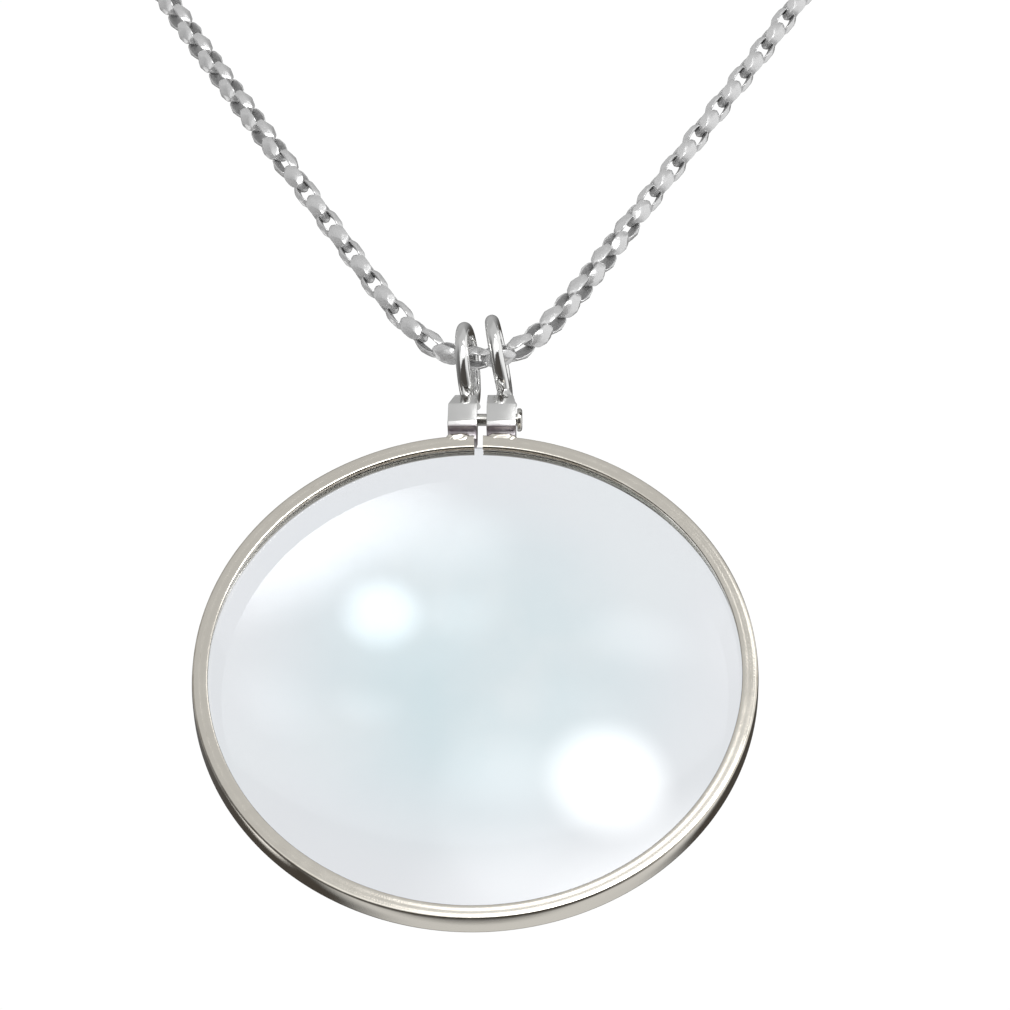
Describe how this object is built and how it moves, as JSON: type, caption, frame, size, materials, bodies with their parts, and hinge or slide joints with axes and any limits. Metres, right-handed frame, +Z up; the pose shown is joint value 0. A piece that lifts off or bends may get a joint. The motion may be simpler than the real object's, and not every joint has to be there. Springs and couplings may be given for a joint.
{
  "type": "magnifier pendant",
  "caption": "Round glass magnifying lens in a split metal rim with lugs, a clamp screw and wire eyes, hanging from a closed silver chain.",
  "frame": {"origin": "at the nape of the neck, on the inner face of the clasp, in its middle", "axes": "+Z up, -Y to the front of the wearer and of the lens, +X to the right as seen from the front; the pendant hangs below and in front of the origin"},
  "size_m": [0.1267, 0.148, 0.3054],
  "materials": {
    "rim_metal": "polished nickel with a warm tint",
    "lens_glass": "polished clear glass, faintly blue",
    "screw_metal": "satin steel",
    "chain_metal": "polished silver",
    "clasp_metal": "polished silver"
  },
  "bodies": {
    "necklace": {"chain": "chain_metal", "clasp": "clasp_metal"},
    "pendant": {"rim": "rim_metal", "lens": "lens_glass", "clamp_screw": "screw_metal"}
  },
  "joints": [
    {"name": "pendant_swing", "type": "hinge", "parent": "necklace", "child": "pendant", "pos_m": [0, -0.14, -0.25], "axis": [1, 0, 0], "range_deg": [-90, 90]}
  ]
}
